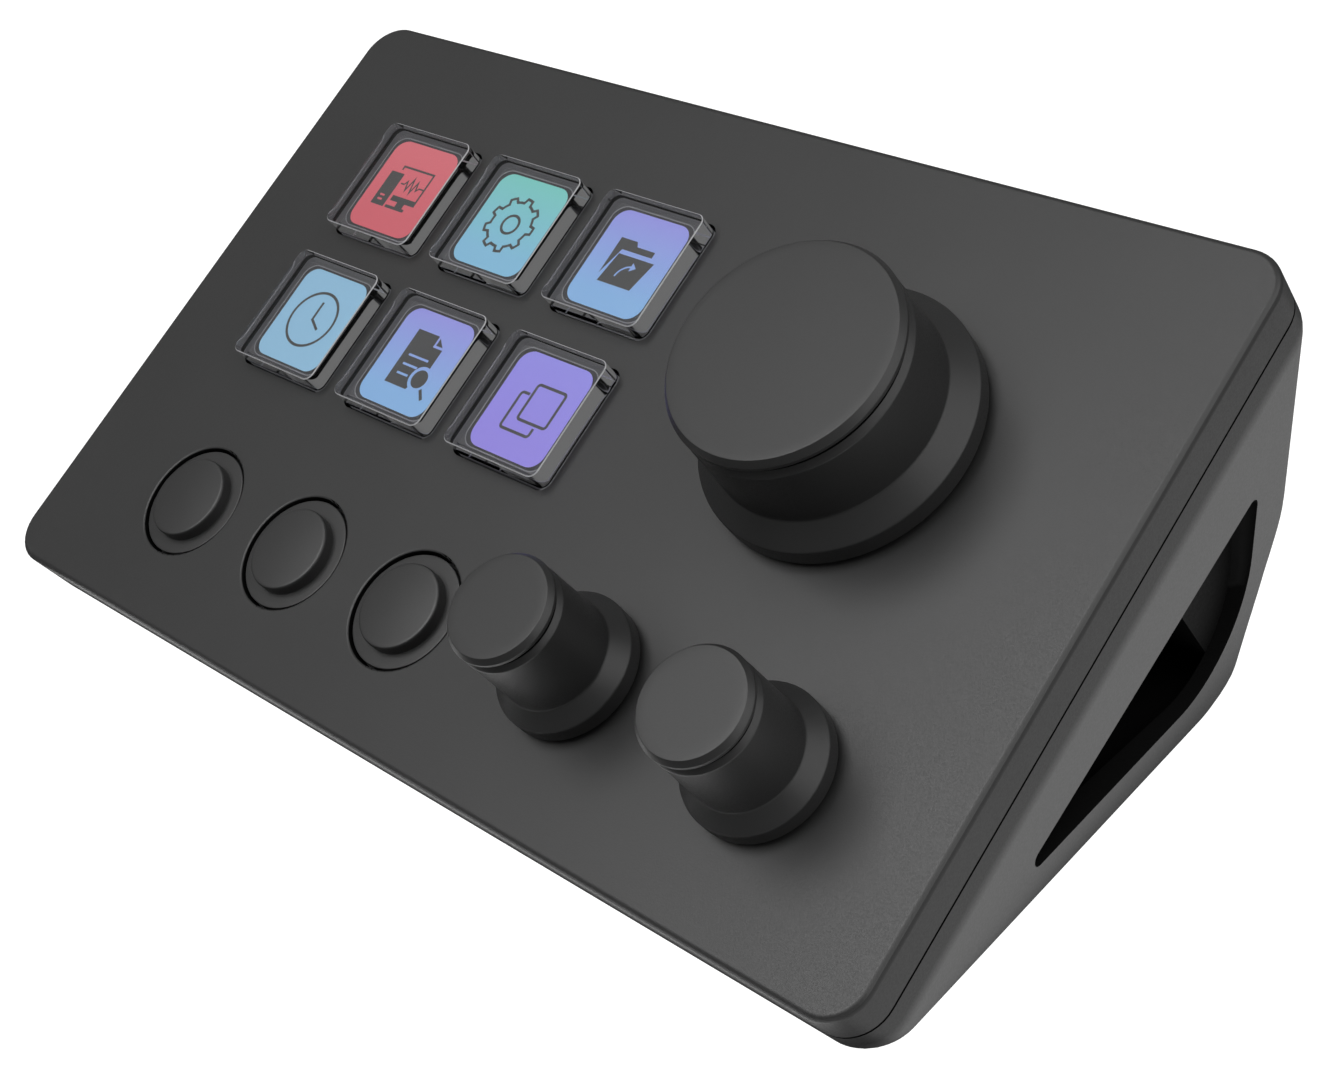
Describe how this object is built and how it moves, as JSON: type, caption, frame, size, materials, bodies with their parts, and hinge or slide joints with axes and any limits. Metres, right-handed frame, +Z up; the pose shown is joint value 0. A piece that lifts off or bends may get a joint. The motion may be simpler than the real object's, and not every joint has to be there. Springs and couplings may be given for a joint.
{
  "type": "macro keypad with knobs",
  "caption": "Sloping desk keypad with clear display keys, round buttons and push-and-turn knobs on a wedge stand with a side-to-side cable bay.",
  "frame": {"origin": "on the table, under the middle of the overall box", "axes": "+X to the user's right, +Y to the rear, +Z up; the faceplate rises towards the rear"},
  "size_m": [0.1314, 0.0728, 0.051],
  "materials": {
    "faceplate_metal": "fine bead-blasted, dark grey anodised",
    "stand_plastic": "finely textured dark grey moulding",
    "foot_rubber": "matt",
    "circuit_board": "solder mask",
    "steel": "plain nickel plate",
    "ribbon": "flat flexible cable",
    "black_plastic": "satin",
    "knob_plastic": "smooth satin dark grey",
    "button_plastic": "smooth satin dark grey",
    "clear_key": "polished clear acrylic",
    "display_1": "lit picture tile, red",
    "display_2": "lit picture tile, teal to light blue",
    "display_3": "lit picture tile, violet to light blue",
    "display_4": "lit picture tile, light blue",
    "display_5": "lit picture tile, violet to light blue",
    "display_6": "lit picture tile, violet"
  },
  "bodies": {
    "root": {"faceplate": "faceplate_metal", "stand_housing": "stand_plastic", "rubber_feet": "foot_rubber", "main_board": "circuit_board", "port_board": "circuit_board", "port_socket": "steel", "link_ribbon": "ribbon", "board_screws": "steel", "case_screws": "steel", "key_guide": "black_plastic", "key_switches": "black_plastic", "button_switches": "black_plastic", "large_encoder": "steel", "left_encoder": "steel", "right_encoder": "steel"},
    "key_1": {"key_cap_1": "clear_key", "key_display_1": "display_1", "key_carrier_1": "black_plastic"},
    "key_2": {"key_cap_2": "clear_key", "key_display_2": "display_2", "key_carrier_2": "black_plastic"},
    "key_3": {"key_cap_3": "clear_key", "key_display_3": "display_3", "key_carrier_3": "black_plastic"},
    "key_4": {"key_cap_4": "clear_key", "key_display_4": "display_4", "key_carrier_4": "black_plastic"},
    "key_5": {"key_cap_5": "clear_key", "key_display_5": "display_5", "key_carrier_5": "black_plastic"},
    "key_6": {"key_cap_6": "clear_key", "key_display_6": "display_6", "key_carrier_6": "black_plastic"},
    "button_1": {"round_button_1": "button_plastic"},
    "button_2": {"round_button_2": "button_plastic"},
    "button_3": {"round_button_3": "button_plastic"},
    "large_push": {"large_encoder_plunger": "black_plastic"},
    "large_spin": {"large_knob": "knob_plastic", "large_knob_cap": "knob_plastic", "large_encoder_shaft": "steel"},
    "left_push": {"left_encoder_plunger": "black_plastic"},
    "left_spin": {"left_knob": "knob_plastic", "left_knob_cap": "knob_plastic", "left_encoder_shaft": "steel"},
    "right_push": {"right_encoder_plunger": "black_plastic"},
    "right_spin": {"right_knob": "knob_plastic", "right_knob_cap": "knob_plastic", "right_encoder_shaft": "steel"}
  },
  "joints": [
    {"name": "key_1_press", "type": "slide", "parent": "root", "child": "key_1", "axis": [0, 0.5, -0.866], "range_m": [0, 0.0008], "stiffness_N_per_m": 800, "springref_m": -0.0006},
    {"name": "key_2_press", "type": "slide", "parent": "root", "child": "key_2", "axis": [0, 0.5, -0.866], "range_m": [0, 0.0008], "stiffness_N_per_m": 800, "springref_m": -0.0006},
    {"name": "key_3_press", "type": "slide", "parent": "root", "child": "key_3", "axis": [0, 0.5, -0.866], "range_m": [0, 0.0008], "stiffness_N_per_m": 800, "springref_m": -0.0006},
    {"name": "key_4_press", "type": "slide", "parent": "root", "child": "key_4", "axis": [0, 0.5, -0.866], "range_m": [0, 0.0008], "stiffness_N_per_m": 800, "springref_m": -0.0006},
    {"name": "key_5_press", "type": "slide", "parent": "root", "child": "key_5", "axis": [0, 0.5, -0.866], "range_m": [0, 0.0008], "stiffness_N_per_m": 800, "springref_m": -0.0006},
    {"name": "key_6_press", "type": "slide", "parent": "root", "child": "key_6", "axis": [0, 0.5, -0.866], "range_m": [0, 0.0008], "stiffness_N_per_m": 800, "springref_m": -0.0006},
    {"name": "button_1_press", "type": "slide", "parent": "root", "child": "button_1", "axis": [0, 0.5, -0.866], "range_m": [0, 0.0006], "stiffness_N_per_m": 800, "springref_m": -0.0006},
    {"name": "button_2_press", "type": "slide", "parent": "root", "child": "button_2", "axis": [0, 0.5, -0.866], "range_m": [0, 0.0006], "stiffness_N_per_m": 800, "springref_m": -0.0006},
    {"name": "button_3_press", "type": "slide", "parent": "root", "child": "button_3", "axis": [0, 0.5, -0.866], "range_m": [0, 0.0006], "stiffness_N_per_m": 800, "springref_m": -0.0006},
    {"name": "large_knob_push", "type": "slide", "parent": "root", "child": "large_push", "axis": [0, 0.5, -0.866], "range_m": [0, 0.00045], "stiffness_N_per_m": 2000, "springref_m": -0.0005},
    {"name": "large_knob_turn", "type": "hinge", "parent": "large_push", "child": "large_spin", "pos_m": [0.0324, 0.00646, 0.0322], "axis": [0, -0.5, 0.866], "continuous": true},
    {"name": "left_knob_push", "type": "slide", "parent": "root", "child": "left_push", "axis": [0, 0.5, -0.866], "range_m": [0, 0.00045], "stiffness_N_per_m": 2000, "springref_m": -0.0005},
    {"name": "left_knob_turn", "type": "hinge", "parent": "left_push", "child": "left_spin", "pos_m": [0.0199, -0.02186, 0.01585], "axis": [0, -0.5, 0.866], "continuous": true},
    {"name": "right_knob_push", "type": "slide", "parent": "root", "child": "right_push", "axis": [0, 0.5, -0.866], "range_m": [0, 0.00045], "stiffness_N_per_m": 2000, "springref_m": -0.0005},
    {"name": "right_knob_turn", "type": "hinge", "parent": "right_push", "child": "right_spin", "pos_m": [0.0449, -0.02186, 0.01585], "axis": [0, -0.5, 0.866], "continuous": true}
  ]
}
